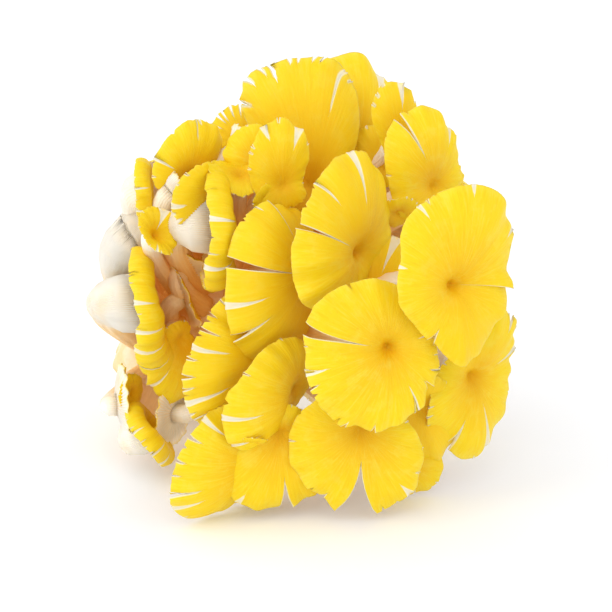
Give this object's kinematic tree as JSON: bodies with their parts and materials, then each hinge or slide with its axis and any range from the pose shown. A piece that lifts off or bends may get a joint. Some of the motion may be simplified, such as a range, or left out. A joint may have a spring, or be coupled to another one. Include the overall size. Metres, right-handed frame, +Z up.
{
  "type": "oyster mushroom cluster",
  "caption": "Cluster of golden oyster mushrooms lying on its side: overlapping yellow funnel caps with split, wavy rims on pale stems that join in one lumpy butt.",
  "frame": {"origin": "middle of the cluster's underside, on the surface it lies on", "axes": "+Z up, the side with the large open caps faces -Y, and the butt points back and to -X"},
  "size_m": [0.1534, 0.136, 0.1504],
  "materials": {
    "cream_flesh": "matt cream flesh",
    "gold_top_fan": "satin golden yellow cap, cream below",
    "gold_top_right_fan": "satin golden yellow cap, cream below",
    "gold_top_bud_right": "satin golden yellow cap, cream below",
    "gold_top_bud_low": "satin golden yellow cap, cream below",
    "gold_upper_right": "satin golden yellow cap, cream below",
    "gold_right_behind": "satin golden yellow cap, cream below",
    "gold_right_large": "satin golden yellow cap, cream below",
    "gold_centre_large": "satin golden yellow cap, cream below",
    "gold_centre_low_large": "satin golden yellow cap, cream below",
    "gold_left_middle_large": "satin golden yellow cap, cream below",
    "gold_left_low_fan": "satin golden yellow cap, cream below",
    "gold_front_left_band": "satin golden yellow cap, cream below",
    "gold_bottom_left": "satin golden yellow cap, cream below",
    "gold_bottom_behind": "satin golden yellow cap, cream below",
    "gold_bottom_middle": "satin golden yellow cap, cream below",
    "gold_bottom_right": "satin golden yellow cap, cream below",
    "gold_low_right_small": "satin golden yellow cap, cream below",
    "gold_right_low": "satin golden yellow cap, cream below",
    "gold_streaked": "satin golden yellow cap, cream below",
    "gold_petal_top": "satin golden yellow cap, cream below",
    "gold_petal_top_left": "satin golden yellow cap, cream below",
    "gold_ragged_back": "satin golden yellow cap, cream below",
    "gold_upper_left_curl": "satin golden yellow cap, cream below",
    "gold_crescent": "satin golden yellow cap, cream below",
    "gold_tall_strip": "satin golden yellow cap, cream below",
    "gold_left_upper": "satin golden yellow cap, cream below",
    "gold_left_white": "satin golden yellow cap, cream below",
    "gold_curly_small": "satin golden yellow cap, cream below",
    "gold_left_strip": "satin golden yellow cap, cream below",
    "gold_left_petal": "satin golden yellow cap, cream below",
    "gold_upper_left_petal": "satin golden yellow cap, cream below",
    "gold_tan_inner": "satin golden yellow cap, cream below",
    "gold_left_far_low": "satin golden yellow cap, cream below",
    "gold_left_low_strip": "satin golden yellow cap, cream below",
    "gold_tan_low": "satin golden yellow cap, cream below",
    "gold_bud_mid_left": "satin golden yellow cap, cream below",
    "gold_trough_small": "satin golden yellow cap, cream below",
    "gold_bud_left_of_8": "satin golden yellow cap, cream below",
    "gold_tan_between": "satin golden yellow cap, cream below",
    "gold_low_behind": "satin golden yellow cap, cream below",
    "gold_tan_inner_low": "satin golden yellow cap, cream below",
    "gold_left_low_bud": "satin golden yellow cap, cream below",
    "gold_tiny_young": "satin golden yellow cap, cream below",
    "gold_back_top": "satin golden yellow cap, cream below",
    "gold_back_top_left": "satin golden yellow cap, cream below",
    "gold_back_top_right": "satin golden yellow cap, cream below",
    "gold_back_right": "satin golden yellow cap, cream below",
    "gold_back_right_low": "satin golden yellow cap, cream below",
    "gold_back_middle_right": "satin golden yellow cap, cream below",
    "gold_back_middle": "satin golden yellow cap, cream below",
    "gold_back_low": "satin golden yellow cap, cream below",
    "gold_back_left": "satin golden yellow cap, cream below",
    "gold_back_left_low": "satin golden yellow cap, cream below"
  },
  "bodies": {
    "root": {"stem_base": "cream_flesh", "mushroom_top_fan": "gold_top_fan", "mushroom_top_right_fan": "gold_top_right_fan", "mushroom_top_bud_right": "gold_top_bud_right", "mushroom_top_bud_low": "gold_top_bud_low", "mushroom_upper_right": "gold_upper_right", "mushroom_right_behind": "gold_right_behind", "mushroom_right_large": "gold_right_large", "mushroom_centre_large": "gold_centre_large", "mushroom_centre_low_large": "gold_centre_low_large", "mushroom_left_middle_large": "gold_left_middle_large", "mushroom_left_low_fan": "gold_left_low_fan", "mushroom_front_left_band": "gold_front_left_band", "mushroom_bottom_left": "gold_bottom_left", "mushroom_bottom_behind": "gold_bottom_behind", "mushroom_bottom_middle": "gold_bottom_middle", "mushroom_bottom_right": "gold_bottom_right", "mushroom_low_right_small": "gold_low_right_small", "mushroom_right_low": "gold_right_low", "mushroom_streaked": "gold_streaked", "mushroom_petal_top": "gold_petal_top", "mushroom_petal_top_left": "gold_petal_top_left", "mushroom_ragged_back": "gold_ragged_back", "mushroom_upper_left_curl": "gold_upper_left_curl", "mushroom_crescent": "gold_crescent", "mushroom_tall_strip": "gold_tall_strip", "mushroom_left_upper": "gold_left_upper", "mushroom_left_white": "gold_left_white", "mushroom_curly_small": "gold_curly_small", "mushroom_left_strip": "gold_left_strip", "mushroom_left_petal": "gold_left_petal", "mushroom_upper_left_petal": "gold_upper_left_petal", "mushroom_tan_inner": "gold_tan_inner", "mushroom_left_far_low": "gold_left_far_low", "mushroom_left_low_strip": "gold_left_low_strip", "mushroom_tan_low": "gold_tan_low", "mushroom_bud_mid_left": "gold_bud_mid_left", "mushroom_trough_small": "gold_trough_small", "mushroom_bud_left_of_8": "gold_bud_left_of_8", "mushroom_tan_between": "gold_tan_between", "mushroom_low_behind": "gold_low_behind", "mushroom_tan_inner_low": "gold_tan_inner_low", "mushroom_left_low_bud": "gold_left_low_bud", "mushroom_tiny_young": "gold_tiny_young", "mushroom_back_top": "gold_back_top", "mushroom_back_top_left": "gold_back_top_left", "mushroom_back_top_right": "gold_back_top_right", "mushroom_back_right": "gold_back_right", "mushroom_back_right_low": "gold_back_right_low", "mushroom_back_middle_right": "gold_back_middle_right", "mushroom_back_middle": "gold_back_middle", "mushroom_back_low": "gold_back_low", "mushroom_back_left": "gold_back_left", "mushroom_back_left_low": "gold_back_left_low"}
  },
  "joints": []
}
